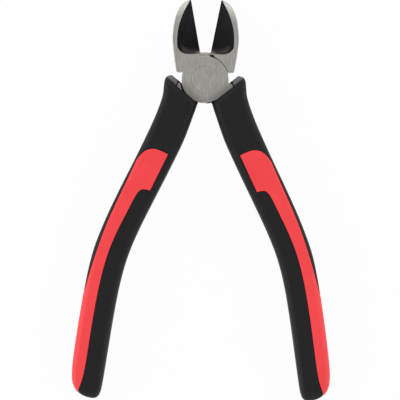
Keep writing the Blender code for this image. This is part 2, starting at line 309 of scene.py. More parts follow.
def drawn_foot(p):
    """A point of the disc's rim, drawn in a little where the rim faces the handles."""
    return p * (1 - RIM_FOOT_DROP * max(-p.y / DISC_RADIUS, 0.0) ** RIM_FOOT_SHARPNESS)


def lever_slab(finish):
    """The whole forging but its tang: edge, jaw back, shoulder, disc, tang root and disc again."""
    shoulder, root = plan(JAW_SHOULDER), plan(TANG_ROOT)
    edge = along_edge(plan([(EDGE_X, DISC_RADIUS), (EDGE_X, TIP_Y)]))
    back = smooth(plan(JAW_BACK), JAW_BACK_STEPS)
    left_start, left_end = angle_of(shoulder[-1]) + RIM_START, angle_of(root[0]) + 360.0 - RIM_STOP
    left_rim = [drawn_foot(p) for p in arc(DISC_RADIUS, left_start, left_end, LEFT_RIM_STEPS)]
    right_start, right_end = angle_of(root[-1]) + RIM_START, EDGE_ANGLE - HEEL_STOP
    right_rim = arc(DISC_RADIUS, right_start, right_end, RIGHT_RIM_STEPS)
    breaks = [0.0] * len(edge)
    for p in [*back, *shoulder]:
        breaks.append(min(JAW_EDGE_BREAK, TIP_EDGE_BREAK + JAW_BREAK_GROWTH * (TIP_Y - p.y)))
    breaks += [DISC_EDGE_BREAK] * (len(left_rim) + len(root))
    breaks += [DISC_EDGE_BREAK * min(1.0, (EDGE_ANGLE - angle_of(p)) / HEEL_TAPER) for p in right_rim]
    columns = [NOSE_FIRST_X + NOSE_COLUMN_STEP * i for i in range(NOSE_COLUMNS)]
    rows = [NOSE_START_Y + NOSE_ROW_STEP * i for i in range(NOSE_ROWS)]
    inside = [Vector((x, y)) for y in rows for x in columns]
    outline = [*edge, *back, *shoulder, *left_rim, *root, *right_rim]
    return ground_slab("lever", outline, breaks, inside, finish)


def tang(finish):
    """The bar that the grip is moulded on, along the grip's middle and a little tapered."""
    middle = smooth(plan(TANG_LINE), TANG_STEPS)
    rings = []
    for i, p in enumerate(middle):
        along = (middle[min(i + 1, len(middle) - 1)] - middle[max(i - 1, 0)]).normalized()
        across = Vector((-along.y, along.x))
        half = TANG_HALF_WIDTH - TANG_TAPER * i / (len(middle) - 1)
        high, flat, side = TANG_HALF_THICKNESS, half - TANG_CHAMFER, TANG_HALF_THICKNESS - TANG_CHAMFER
        corners = [(half, -side), (half, side), (flat, high), (-flat, high),
                   (-half, side), (-half, -side), (-flat, -high), (flat, -high)]
        rings.append([Vector((*(p + across * x), z)) for x, z in corners])
    return loft("tang", rings, finish)


def throat_band(radius, start, end):
    """A band along the disc's rim between two angles, rooted a little inside the rim."""
    root = arc(DISC_RADIUS - THROAT_ROOT, end, start, THROAT_STEPS)
    return [*arc(radius, start, end, THROAT_STEPS), *root]


def tongue(finish):
    """The low tongue that fills the throat and slides under the other jaw, with its upper edge broken."""
    start, end = EDGE_ANGLE - TONGUE_SPAN, EDGE_ANGLE + THROAT_JOIN
    side_top, face_radius = TONGUE_HEIGHT - TONGUE_EDGE_BREAK, TONGUE_RADIUS - TONGUE_EDGE_BREAK
    profile = [(TONGUE_RADIUS, THROAT_GAP), (TONGUE_RADIUS, side_top), (face_radius, TONGUE_HEIGHT)]
    rings = [raised(throat_band(radius, start, end), height) for radius, height in profile]
    return loft("tongue", rings, finish)


def tongue_pocket(finish):
    """Room under the jaw's own heel for the other lever's tongue."""
    band = throat_band(POCKET_RADIUS, EDGE_ANGLE - THROAT_JOIN, EDGE_ANGLE + TONGUE_SPAN + POCKET_ROOM)
    return prism("tongue_pocket", band, -TONGUE_HEIGHT - THROAT_GAP, 0.0, finish)


def scoop(side, finish):
    """The ground hollow that makes one cutting bevel, on the front (side 1) or the back (side -1)."""
    right_x, top_y, top_z = SCOOP_PAST_EDGE, TIP_Y + CUT_PAST, HALF_HEAD + CUT_PAST
    corner_x = SCOOP_OUTER_X + SCOOP_CORNER
    above_end = SCOOP_CORNER * math.hypot(1.0, SCOOP_END_SLOPE)
    centre = (corner_x, SCOOP_END_Y + SCOOP_END_SLOPE * corner_x + above_end)
    corner_start = 270.0 + math.degrees(math.atan(SCOOP_END_SLOPE))
    corner = arc(SCOOP_CORNER, corner_start, 180.0, SCOOP_CORNER_STEPS, centre)
    foot = [Vector((right_x, SCOOP_END_Y + SCOOP_END_SLOPE * right_x)), *corner]
    outline = [*foot, Vector((SCOOP_OUTER_X, top_y)), Vector((right_x, top_y))]
    rings = []
    for on_bevel in (True, False):
        ring = []
        for i, p in enumerate(outline):
            height = EDGE_LAND - BEVEL_RISE * p.x if on_bevel else top_z
            rise = SCOOP_WALL_LEAN * (HALF_HEAD - height) if i < len(foot) else 0.0
            place = along_edge([p + Vector((0.0, rise))])[0]
            ring.append(Vector((place.x, place.y, side * height)))
        rings.append(ring)
    return loft("scoop", rings, finish)


def lap_bed(finish):
    """The other disc's bed: flared and nicked at the throat, wide at the tang, a hairline elsewhere."""
    rim = []
    for p in circle(1.0, DISC_STEPS, EDGE_ANGLE):
        turn = angle_of(p)
        past_throat = (turn - EDGE_ANGLE + ANGLE_SLACK) % 360.0
        flare = BED_FLARE * max(0.0, 1.0 - past_throat / BED_FLARE_SPAN) ** 2
        nick = HEEL_NICK * max(0.0, 1.0 - abs(past_throat - HEEL_NICK_AT) / HEEL_NICK_SPAN)
        by_root = ROOT_ROOM if ROOT_ANGLES[0] < turn < ROOT_ANGLES[1] else 0.0
        rim.append(p * (BED_RADIUS + flare + nick + by_root))
    return prism("lap_bed", rim, -HALF_HEAD - CUT_PAST, BED_HEIGHT, finish)


def rivet_profile(gap, past):
    """Radius and height of the rivet from rear to front, grown by the gap and run past its faces."""
    shank, head = RIVET_RADIUS + gap, RIVET_HEAD_RADIUS + gap
    neck, face = HALF_HEAD - RIVET_HEAD_DEPTH, HALF_HEAD + past
    top = head + past * (RIVET_HEAD_RADIUS - RIVET_RADIUS) / RIVET_HEAD_DEPTH
    return [(top, -face), (shank, -neck), (shank, neck), (top, face)]


# Steel finishes: tones and roughness from the low to the high end of a pattern, streaks to the metre across
# and along with their detail, relief as strength and depth in metres, fades from nothing to full
PATTERN_LOW, PATTERN_HIGH = 0.3, 0.7
GRIP_SIDE, JAW_SIDE = 1.0, -1.0
STEEL_TONES = ((0.409, 0.393, 0.366), (0.549, 0.529, 0.493))
STEEL_BANDS = (1500.0, 220.0, 4.0)
STEEL_SCRATCHES = (6500.0, 160.0, 3.0)
STEEL_ROUGHNESS = (0.24, 0.34)
STEEL_RELIEF = (0.25, 0.00002)
GUARD_END = [(0.50, -7.15), (13.15, -0.85)]
# Painted shade and a painted reflection of the black grips: the steel is darkened at the grips' mouth
GRIP_SHADE = (0.27, 0.258, 0.238)
GRIP_SHADE_FADE = (-2.2, 2.3)
BEVEL_MARKS = (520.0, 380.0, 5.0)
BEVEL_ROUGHNESS = (0.38, 0.62)
BEVEL_RELIEF = (0.2, 0.00002)
BEVEL_SPECULAR = 0.1
SCOOP_FOOT_CURVE, SCOOP_FOOT_POWER = 0.0104, 3.0
FOOT_OXIDE = ((0.0, 0.0, 0.0), (0.0084, 0.0068, 0.008))
TIP_OXIDE = ((0.0045, 0.0041, 0.0041), (0.0185, 0.0172, 0.0172))
OXIDE_FADE = (3.0, 19.0)
# Painted reflection on the bevel's wall near its foot: the oxide's brown tone lightened, and light grey
# next to the edge
BROWN_OXIDE_AND_REFLECTION = (0.057, 0.05, 0.0455)
BROWN_REFLECTION_FADE = (3.2, 0.8)
BROWN_REFLECTION_WIDTH = (7.4, 5.2)
EDGE_WALL_REFLECTION = (0.25, 0.235, 0.22)
EDGE_REFLECTION_FADE = (1.8, 0.3)
EDGE_REFLECTION_WIDTH = (2.6, 0.2)
# Dark grey of the lap's faces: painted shade, where they show down in the throat's nick and pocket
LAP_SHADE_TONES = ((0.045, 0.042, 0.04), (0.065, 0.061, 0.058))
LAP_MOTTLE = (700.0, 3.0)
LAP_ROUGHNESS = (0.4, 0.55)
LAP_SPECULAR = 0.2


def add(tree, kind, inputs=None, **settings):
    """A node with its settings, and its inputs given as values or as other nodes' outputs."""
    made = tree.nodes.new(kind)
    for name, value in settings.items():
        setattr(made, name, value)
    for socket, value in (inputs or {}).items():
        if isinstance(value, bpy.types.NodeSocket):
            tree.links.new(value, made.inputs[socket])
        else:
            made.inputs[socket].default_value = value
    return made


def finish_tree(name):
    """A new material with its node tree, its shader and the piece's own coordinates."""
    made = bpy.data.materials.new(name)
    made.use_nodes = True
    tree = made.node_tree
    place = add(tree, "ShaderNodeTexCoord").outputs["Object"]
    return made, tree, tree.nodes["Principled BSDF"], place


def mottled(tree, place, per_metre, detail):
    """An even mottle with that many spots to the metre."""
    noise = add(tree, "ShaderNodeTexNoise", {"Vector": place, "Scale": per_metre, "Detail": detail})
    return noise.outputs["Fac"]


def streaks(tree, place, across, along, detail):
    """Grinding streaks along the tool: how many to the metre across and along them."""
    stretched = add(tree, "ShaderNodeMapping", {"Vector": place, "Scale": (across, along, across)})
    return mottled(tree, stretched.outputs[0], 1.0, detail)


def ranged(tree, value, low, high):
    """A pattern brought to a range."""
    pattern = {"Value": value, "From Min": PATTERN_LOW, "From Max": PATTERN_HIGH}
    return add(tree, "ShaderNodeMapRange", {**pattern, "To Min": low, "To Max": high}).outputs["Result"]


def faded(tree, value, nothing, full):
    """A soft step from 0 to 1 between two values."""
    made = add(tree, "ShaderNodeMapRange", {"Value": value, "From Min": nothing, "From Max": full},
               interpolation_type="SMOOTHSTEP")
    return made.outputs["Result"]


def mixed(tree, share, low, high):
    """Two colours mixed by a share; each may be another node's output."""
    low, high = (c if isinstance(c, bpy.types.NodeSocket) else (*c, 1.0) for c in (low, high))
    made = add(tree, "ShaderNodeMix", {0: share, 6: low, 7: high}, data_type="RGBA")
    return made.outputs[2]


def tinted(tree, value, low, high):
    """Two colours mixed by a pattern."""
    return mixed(tree, ranged(tree, value, 0.0, 1.0), low, high)


def maths(tree, operation, *values):
    """The result of a sum on values or other nodes' outputs."""
    return add(tree, "ShaderNodeMath", dict(enumerate(values)), operation=operation).outputs[0]


def coated(tree, shader, colour, roughness):
    """Leads a colour and a roughness to the shader."""
    tree.links.new(colour, shader.inputs["Base Color"])
    tree.links.new(roughness, shader.inputs["Roughness"])


def embossed(tree, shader, pattern, strength, depth):
    """Leads a pattern to the shader as a fine relief."""
    bump = add(tree, "ShaderNodeBump", {"Strength": strength, "Distance": depth, "Height": pattern})
    tree.links.new(bump.outputs["Normal"], shader.inputs["Normal"])


def lever_place(tree, place, side):
    """Where a point of the grips or of the jaws lies in its lever's frame."""
    world = add(tree, "ShaderNodeSeparateXYZ", {0: place}).outputs
    outward = maths(tree, "MULTIPLY", maths(tree, "ABSOLUTE", world["X"]), side)
    mirrored = add(tree, "ShaderNodeCombineXYZ", {"X": outward, "Y": world["Y"]}).outputs[0]
    lever_frame = {"Location": PIVOT, "Rotation": (0.0, 0.0, HALF_OPENING), "Scale": (MM, MM, MM)}
    made = add(tree, "ShaderNodeMapping", {"Vector": mirrored, **lever_frame}, vector_type="TEXTURE")
    return made.outputs[0]


def behind_guard_end(tree, place):
    """How far a point lies behind the line of the guards' ends, and its place in the lever's frame."""
    inner, outer = plan(GUARD_END)
    along = (outer - inner).normalized()
    back = Vector((along.y, -along.x, 0.0))
    spot = lever_place(tree, place, GRIP_SIDE)
    reach = add(tree, "ShaderNodeVectorMath", {0: spot, 1: back}, operation="DOT_PRODUCT").outputs["Value"]
    return maths(tree, "SUBTRACT", reach, back.xy.dot(inner)), spot


def ground_steel(name, tones):
    """Belt-ground steel: broad faint bands and fine scratches along the tool, darkened next to the grips
    with painted shade and a painted reflection of the black grips.
    """
    made, tree, shader, place = finish_tree(name)
    bands, scratches = streaks(tree, place, *STEEL_BANDS), streaks(tree, place, *STEEL_SCRATCHES)
    # Painted shade: the steel darkens towards the grips, in place of their shadow and their dark reflection
    grip_shade = faded(tree, behind_guard_end(tree, place)[0], *GRIP_SHADE_FADE)
    colour = mixed(tree, grip_shade, tinted(tree, bands, *tones), GRIP_SHADE)
    coated(tree, shader, colour, ranged(tree, scratches, *STEEL_ROUGHNESS))
    embossed(tree, shader, scratches, *STEEL_RELIEF)
    shader.inputs["Metallic"].default_value = 1.0
    return made


def blackened_steel(name):
    """Oxide over grinding marks, blackest at the bevel's foot; the wall at the foot has a painted
    reflection of the floor, brown over the oxide and light grey next to the edge.
    """
    made, tree, shader, place = finish_tree(name)
    marks = streaks(tree, place, *BEVEL_MARKS)
    spot = add(tree, "ShaderNodeSeparateXYZ", {0: lever_place(tree, place, JAW_SIDE)}).outputs
    across = maths(tree, "ABSOLUTE", spot["X"])
    foot = maths(tree, "MULTIPLY", maths(tree, "POWER", across, SCOOP_FOOT_POWER), SCOOP_FOOT_CURVE)
    above_foot = maths(tree, "SUBTRACT", maths(tree, "SUBTRACT", spot["Y"], SCOOP_END_Y), foot)

    def near_foot(fade, width):
        return maths(tree, "MULTIPLY", faded(tree, above_foot, *fade), faded(tree, across, *width))

    towards_tip = faded(tree, above_foot, *OXIDE_FADE)
    black = mixed(tree, towards_tip, tinted(tree, marks, *FOOT_OXIDE), tinted(tree, marks, *TIP_OXIDE))
    # Painted reflection of the floor on the wall at the bevel's foot, brown and then light grey next to the
    # edge
    brown = mixed(tree, near_foot(BROWN_REFLECTION_FADE, BROWN_REFLECTION_WIDTH), black, BROWN_OXIDE_AND_REFLECTION)
    reflected_grey = mixed(tree, near_foot(EDGE_REFLECTION_FADE, EDGE_REFLECTION_WIDTH), brown, EDGE_WALL_REFLECTION)
    coated(tree, shader, reflected_grey, ranged(tree, marks, *BEVEL_ROUGHNESS))
    embossed(tree, shader, marks, *BEVEL_RELIEF)
    shader.inputs["Specular IOR Level"].default_value = BEVEL_SPECULAR
    return made


def lap_shade_finish(name):
    """The lap's own surfaces, dull with oil and dark grey: painted shade where they show, down in the
    throat's nick and pocket.
    """
    made, tree, shader, place = finish_tree(name)
    mottle = mottled(tree, place, *LAP_MOTTLE)
    coated(tree, shader, tinted(tree, mottle, *LAP_SHADE_TONES), ranged(tree, mottle, *LAP_ROUGHNESS))
    shader.inputs["Specular IOR Level"].default_value = LAP_SPECULAR
    return made


def fitted(shape, name, body, node):
    """A copy of a drawn shape as a piece of one half, standing for a node of the frame."""
    mesh = shape.data.copy()
    mesh.transform(HALVES[body] @ Matrix.Scale(MM, 4))
    mesh.shade_smooth()
    mesh.set_sharp_from_angle(angle=SMOOTH_UP_TO)
    piece = bpy.data.objects.new(name, mesh)
    bpy.context.scene.collection.objects.link(piece)
    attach(piece, body)
    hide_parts(node)


steel = ground_steel("ground_steel", STEEL_TONES)
black_bevel = blackened_steel("blackened_bevel")
lap_shade = lap_shade_finish("lap_painted_shade")
lever = shaped(lever_slab(steel), "UNION", tongue(steel))
# The faces these cuts leave are dark grey as painted shade, where they show in the throat
shaped(lever, "DIFFERENCE", lap_bed(lap_shade), tongue_pocket(lap_shade))
shaped(lever, "DIFFERENCE", turned("rivet_hole", rivet_profile(RIVET_GAP, CUT_PAST), RIVET_STEPS, steel))
shaped(lever, "DIFFERENCE", scoop(1, black_bevel), scoop(-1, black_bevel))
shaped(lever, "UNION", tang(steel))
fitted(lever, "front_forging", "front_half", "front_lever")
fitted(lever, "rear_forging", "rear_half", "rear_lever")
bpy.data.objects.remove(lever)

# Pivot rivet
# A steel rivet with two countersunk heads, clenched in the front lever and ground flush with the faces.
# Its tone is a shade off the levers' own, and the rims of its heads are just broken.
RIVET_EDGE_BREAK = 0.05
RIVET_TONES = ((0.404, 0.391, 0.366), (0.544, 0.527, 0.494))
rivet_steel = ground_steel("rivet_steel", RIVET_TONES)
face_radius, side_height = RIVET_HEAD_RADIUS - RIVET_EDGE_BREAK, HALF_HEAD - RIVET_EDGE_BREAK
rear_head = [(face_radius, -HALF_HEAD), (RIVET_HEAD_RADIUS, -side_height)]
front_head = [(RIVET_HEAD_RADIUS, side_height), (face_radius, HALF_HEAD)]
shank = rivet_profile(0.0, 0.0)[1:3]
rivet = turned("rivet", [*rear_head, *shank, *front_head], RIVET_STEPS, rivet_steel)
fitted(rivet, "riveted_pivot", "front_half", "pivot_rivet")
bpy.data.objects.remove(rivet)

# Grip cores
# Hard black plastic sleeves moulded on the tangs, wholly covered by the soft grip.
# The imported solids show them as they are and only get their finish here.
GRIPS = {"right": "front_half", "left": "rear_half"}
CORE_TONES = ((0.026, 0.026, 0.027), (0.034, 0.034, 0.035))
CORE_MOTTLE = (900.0, 3.0)
CORE_ROUGHNESS = (0.48, 0.6)


def hard_black(name):
    """Plain moulded plastic, a little uneven in tone and gloss."""
    made, tree, shader, place = finish_tree(name)
    mottle = mottled(tree, place, *CORE_MOTTLE)
    coated(tree, shader, tinted(tree, mottle, *CORE_TONES), ranged(tree, mottle, *CORE_ROUGHNESS))
    return made


core_black = hard_black("core_plastic")
for side in GRIPS:
    core = frame["nodes"][f"{side}_grip_core"]
    core.data.materials.clear()
    core.data.materials.append(core_black)

# Grip shells
# Black soft plastic moulded over the cores, with a guard at the mouth and a window for the inlay.
# The section is a rounded oblong, swept along lines across the grip from the guard to the tail.
# Each line has the grip's inner edge, its outer edge and its half depth.
HALF_DEPTH = 7.5
GRIP_LINES = [
    (*GUARD_END, 5.7),
    ((0.55, -8.65), (14.70, -1.75), 6.5),
    ((0.85, -10.4), (15.30, -3.35), 7.0),
    ((1.12, -12.8), (15.12, -5.70), 7.1),
    ((1.50, -15.5), (14.78, -9.20), 7.2),
    ((2.10, -20.1), (15.15, -13.6), 7.35),
    ((3.10, -26.0), (16.40, -20.8), HALF_DEPTH),
    ((5.85, -37.4), (19.25, -33.2), HALF_DEPTH),
    ((9.15, -50.1), (22.70, -46.8), HALF_DEPTH),
    ((12.2, -62.4), (25.65, -59.6), HALF_DEPTH),
    ((14.1, -73.2), (27.70, -72.2), HALF_DEPTH),
    ((14.7, -84.0), (28.05, -83.6), HALF_DEPTH),
    ((14.42, -96.0), (27.50, -96.4), HALF_DEPTH),
    ((13.78, -108.0), (26.75, -108.8), HALF_DEPTH),
    ((13.2, -118.0), (25.90, -118.2), HALF_DEPTH),
    ((12.95, -123.6), (24.70, -123.8), 7.3),
    ((13.10, -126.6), (22.90, -126.8), 6.7),
    ((13.90, -128.2), (20.80, -128.2), 5.6),
    ((15.20, -128.85), (18.90, -128.8), 4.2),
    ((16.50, -129.0), (17.60, -128.98), 2.0),
]
LINE_STEPS = 6
GUARD_LINES = 2.4
GUARD_FACE_SHARE = 0.45
GUARD_FULLNESS = 1.2
GUARD_STEPS = 14
SECTION_CORNER_ACROSS = 0.36
SECTION_CORNER_DEEP = 0.42
SECTION_BULGE = 0.03
CORNER_STEPS = 10
FACE_STEPS = 7
SHELL_INSET = -0.1

# Room inside the shell for the core, and in its mouth for the steel
CORE_ROOM_LINES = (4.0, 15.4)
CORE_ROOM_INSET = -1.65
FIT_GAP = 0.08
ROOT_GAP = 0.4
ROOT_SEAT = 0.03
ROOT_WEB = 1.0
OTHER_DISC_ROOM = 9.15
OTHER_DISC_TOP = 0.03

# The inlay in plan, clockwise from its head; the window is wider all round by the groove
INLAY_HEAD = [(7.6, -31.15), (10.3, -30.5), (13.2, -30.25), (15.6, -31.1), (17.4, -32.9), (18.9, -35.8)]
INLAY_RIM = [(20.7, -43.8), (23.05, -54.0), (24.95, -63.6), (26.25, -73.6),
             (27.0, -82.0), (27.55, -89.0), (28.3, -96.0)]
INLAY_BEYOND = [(33.0, -100.0), (33.0, -132.0), (22.6, -132.0)]
INLAY_STRIPE = [(21.6, -127.8), (20.85, -121.5), (21.1, -113.0), (21.75, -103.0), (22.25, -92.0),
                (22.35, -82.0), (21.7, -72.5), (20.15, -64.0), (18.35, -56.9), (16.6, -50.3)]
INLAY_STEP = [(15.9, -48.3), (15.2, -47.1), (14.3, -46.4), (13.2, -46.15), (11.3, -46.2)]
LONG_CURVE_STEPS, SHORT_CURVE_STEPS = 6, 5
GROOVE = 0.18

# Finish, with the mould's grain and the cloudy tone as spots to the metre and detail
MOULD_GRAIN = (4200.0, 2.0)
TONE_CLOUD = (120.0, 3.0)
SHELL_TONES = ((0.0042, 0.0042, 0.0048), (0.0057, 0.0057, 0.0064))
SHELL_ROUGHNESS = (0.53, 0.66)
SHELL_RELIEF = (0.35, 0.00003)
SHELL_SPECULAR = 0.3
# Painted highlight: the guards' sloped ends are lightened to grey, as where they catch the light from past
# the jaws
GUARD_HIGHLIGHT = (0.218, 0.218, 0.218)
GUARD_HIGHLIGHT_FADE = (2.4, 0.9)
GUARD_HIGHLIGHT_FROM_X = (9.9, 10.5)


def grip_line(at):
    """Inner edge, outer edge and half depth at a place along the grip, counted in lines."""
    values = [Vector((*a, *b)) for a, b, _ in GRIP_LINES]
    index = min(int(at), len(values) - 2)
    t = at - index
    a, b, c, d = (values[min(max(index + k, 0), len(values) - 1)] for k in (-1, 0, 1, 2))
    edges = between(a, b, c, d, t)
    depth = GRIP_LINES[index][2] * (1 - t) + GRIP_LINES[index + 1][2] * t
    return Vector(edges[:2]), Vector(edges[2:]), depth


def stations(first, last):
    """Close-set lines from one place along the grip to another."""
    count = round((last - first) * LINE_STEPS)
    return [grip_line(first + (last - first) * i / count) for i in range(count + 1)]


def grip_stations():
    """Close-set lines from the sloped and rounded face of the guard to the tail."""
    found = []
    for k in range(GUARD_STEPS):
        share = k / GUARD_STEPS
        inner, outer, depth = grip_line(GUARD_LINES * share)
        found.append((inner, outer, depth * (1 - (1 - GUARD_FACE_SHARE) * (1 - share) ** GUARD_FULLNESS)))
    return found + stations(GUARD_LINES, len(GRIP_LINES) - 1)


def line_mesh(name, points, **values):
    """Loose points that carry values, to be read by a node tree."""
    mesh = bpy.data.meshes.new(name)
    mesh.from_pydata([tuple(p) for p in points], [], [])
    for key, numbers in values.items():
        kind = "FLOAT" if isinstance(numbers[0], float) else "FLOAT_VECTOR"
        attribute = mesh.attributes.new(key, kind, "POINT")
        for entry, number in zip(attribute.data, numbers):
            if kind == "FLOAT":
                entry.value = number
            else:
                entry.vector = number
    made = bpy.data.objects.new(name, mesh)
    bpy.context.scene.collection.objects.link(made)
    return made


def grip_section():
    """The grip's rounded oblong, one unit to each side, with elliptic corners and lightly bulged faces."""
    flat, upright = 1 - SECTION_CORNER_ACROSS, 1 - SECTION_CORNER_DEEP
    corners = []
    for quarter, (sx, sz) in enumerate([(1, 1), (-1, 1), (-1, -1), (1, -1)]):
        turns = [math.pi / 2 * (quarter + i / CORNER_STEPS) for i in range(CORNER_STEPS + 1)]
        corners.append([Vector((sx * flat + SECTION_CORNER_ACROSS * math.cos(t),
                                sz * upright + SECTION_CORNER_DEEP * math.sin(t))) for t in turns])
    around = []
    for quarter, corner in enumerate(corners):
        ahead = corners[(quarter + 1) % 4][0]
        around += [*corner, *[corner[-1].lerp(ahead, i / FACE_STEPS) for i in range(1, FACE_STEPS)]]
    points = [(x * (1 - SECTION_BULGE * z * z), 0.0, z * (1 - SECTION_BULGE * x * x)) for x, z in around]
    return line_mesh("grip_section", points)


def sweep_tree():
    """A node tree that carries a section along lines: inner edges, outer edges and half depths."""
    tree = bpy.data.node_groups.new("grip_sweep", "GeometryNodeTree")
    tree.interface.new_socket("Stations", in_out="INPUT", socket_type="NodeSocketGeometry")
    tree.interface.new_socket("Section", in_out="INPUT", socket_type="NodeSocketObject")
    tree.interface.new_socket("Grow", in_out="INPUT", socket_type="NodeSocketFloat")
    tree.interface.new_socket("Finish", in_out="INPUT", socket_type="NodeSocketMaterial")
    tree.interface.new_socket("Grip", in_out="OUTPUT", socket_type="NodeSocketGeometry")
    given = add(tree, "NodeGroupInput").outputs

    def count(geometry):
        return add(tree, "GeometryNodeAttributeDomainSize", {"Geometry": geometry}).outputs["Point Count"]

    def vector(operation, *values):
        return add(tree, "ShaderNodeVectorMath", dict(enumerate(values)), operation=operation).outputs

    def scaled(value, by):
        return add(tree, "ShaderNodeVectorMath", {0: value, "Scale": by}, operation="SCALE").outputs[0]

    def parts(value):
        return add(tree, "ShaderNodeSeparateXYZ", {0: value}).outputs

    def read(name, kind):
        made = add(tree, "GeometryNodeInputNamedAttribute", {"Name": name}, data_type=kind)
        return made.outputs["Attribute"]

    def at(geometry, value, kind, index):
        return add(tree, "GeometryNodeSampleIndex", {"Geometry": geometry, "Value": value, "Index": index},
                   data_type=kind, clamp=False).outputs["Value"]

    section = add(tree, "GeometryNodeObjectInfo", {"Object": given["Section"]}).outputs["Geometry"]
    lines, corners = count(given["Stations"]), count(section)
    counts = {"Vertices X": lines, "Vertices Y": maths(tree, "ADD", corners, 1.0)}
    grid = add(tree, "GeometryNodeMeshGrid", {"Size X": 1.0, "Size Y": 1.0, **counts}).outputs["Mesh"]
    spot = add(tree, "GeometryNodeInputPosition").outputs[0]
    share = parts(vector("ADD", spot, (0.5, 0.5, 0.0))[0])
    line = maths(tree, "ROUND", maths(tree, "MULTIPLY", share["X"], maths(tree, "SUBTRACT", lines, 1.0)))
    corner = maths(tree, "ROUND", maths(tree, "MULTIPLY", share["Y"], corners))
    unit = parts(at(section, spot, "FLOAT_VECTOR", maths(tree, "MODULO", corner, corners)))
    inner = at(given["Stations"], spot, "FLOAT_VECTOR", line)
    outer = at(given["Stations"], read("outer", "FLOAT_VECTOR"), "FLOAT_VECTOR", line)
    depth = at(given["Stations"], read("depth", "FLOAT"), "FLOAT", line)
    width = vector("SUBTRACT", outer, inner)[0]
    half = maths(tree, "MULTIPLY", vector("LENGTH", width)["Value"], 0.5)
    reach = maths(tree, "MULTIPLY", unit["X"], maths(tree, "ADD", half, given["Grow"]))
    height = maths(tree, "MULTIPLY", unit["Z"], maths(tree, "ADD", depth, given["Grow"]))
    middle = scaled(vector("ADD", inner, outer)[0], 0.5)
    sideways = scaled(vector("NORMALIZE", width)[0], reach)
    upward = add(tree, "ShaderNodeCombineXYZ", {"Z": height}).outputs[0]
    ring = vector("ADD", vector("ADD", middle, sideways)[0], upward)[0]
    skin = add(tree, "GeometryNodeSetPosition", {"Geometry": grid, "Position": ring}).outputs[0]
    skin = add(tree, "GeometryNodeMergeByDistance", {0: skin, "Distance": MERGED_WITHIN}).outputs[0]
    skin = add(tree, "GeometryNodeRealizeInstances", {0: skin}).outputs[0]
    skin = add(tree, "GeometryNodeSetMaterial", {0: skin, "Material": given["Finish"]}).outputs[0]
    add(tree, "NodeGroupOutput", {"Grip": skin})
    return tree


SWEEP = sweep_tree()
SECTION = grip_section()


def swept(name, lines, grow, finish):
    """The grip's section along these lines, with both ends closed, as a plain solid."""
    inner, outer, depth = zip(*lines)
    path = line_mesh(name, [(*p, 0.0) for p in inner], outer=[(*p, 0.0) for p in outer], depth=list(depth))
    step = path.modifiers.new("sweep", "NODES")
    step.node_group = SWEEP
    given = {"Section": SECTION, "Grow": grow, "Finish": finish}
    for item in SWEEP.interface.items_tree:
        if item.name in given:
            step[item.identifier] = given[item.name]
    mesh = settled(path).data
    work = bmesh.new()
    work.from_mesh(mesh)
    bmesh.ops.holes_fill(work, edges=[e for e in work.edges if e.is_boundary])
    bmesh.ops.recalc_face_normals(work, faces=work.faces)
    work.to_mesh(mesh)
    work.free()
    return path


def widened(outline, by):
    """An anticlockwise outline moved outwards."""
    return drawn_in(outline, [-by] * len(outline))


def inlay_outline():
    """The inlay in plan, anticlockwise."""
    head = plan(INLAY_HEAD)
    rim = smooth([head[-1], *plan(INLAY_RIM)], LONG_CURVE_STEPS)[1:]
    stripe = smooth(plan(INLAY_STRIPE), LONG_CURVE_STEPS)
    step = smooth(plan(INLAY_STEP), SHORT_CURVE_STEPS)
    around = [*smooth(head, SHORT_CURVE_STEPS), *rim, *plan(INLAY_BEYOND), *stripe, *step]
    return around[::-1]


def through_grip(name, outline, finish):
    """An outline as a prism that reaches past the grip's front and back."""
    return prism(name, outline, -HALF_DEPTH - CUT_PAST, HALF_DEPTH + CUT_PAST, finish)


def core_room(finish):
    """Room for the core, the same distance inside the grip all round."""
    return swept("core_room", stations(*CORE_ROOM_LINES), CORE_ROOM_INSET, finish)


def mouth_rooms(finish):
    """Room in the mouth for the grip's own disc, its tang root beside a web, and the other disc."""
    high = HALF_HEAD + FIT_GAP
    own = [(DISC_RADIUS + FIT_GAP, -high), (DISC_RADIUS + FIT_GAP, high)]
    other = [(OTHER_DISC_ROOM, -high), (OTHER_DISC_ROOM, OTHER_DISC_TOP)]
    root = plan([(0.0, 0.0), *TANG_ROOT])
    seat = prism("root_seat", widened(root, ROOT_SEAT), -high, high, finish)
    wide = widened(root, ROOT_GAP)
    pockets = [prism("root_pocket", wide, side * ROOT_WEB, side * high, finish) for side in (1, -1)]
    own_disc = turned("own_disc", own, DISC_STEPS, finish)
    other_disc = turned("other_disc", other, DISC_STEPS, finish)
    return own_disc, seat, *pockets, other_disc


def soft_black(name):
    """Matte black soft plastic with a fine eroded mould grain, and a painted highlight in light grey on the
    guards' sloped ends.
    """
    made, tree, shader, place = finish_tree(name)
    grain, cloud = mottled(tree, place, *MOULD_GRAIN), mottled(tree, place, *TONE_CLOUD)
    behind, spot = behind_guard_end(tree, place)
    # Painted highlight on the guards' ends, fading in behind the guards' end line
    on_guard = faded(tree, add(tree, "ShaderNodeSeparateXYZ", {0: spot}).outputs["X"], *GUARD_HIGHLIGHT_FROM_X)
    highlight = maths(tree, "MULTIPLY", on_guard, faded(tree, behind, *GUARD_HIGHLIGHT_FADE))
    colour = mixed(tree, highlight, tinted(tree, cloud, *SHELL_TONES), GUARD_HIGHLIGHT)
    coated(tree, shader, colour, ranged(tree, grain, *SHELL_ROUGHNESS))
    embossed(tree, shader, grain, *SHELL_RELIEF)
    shader.inputs["Specular IOR Level"].default_value = SHELL_SPECULAR
    return made


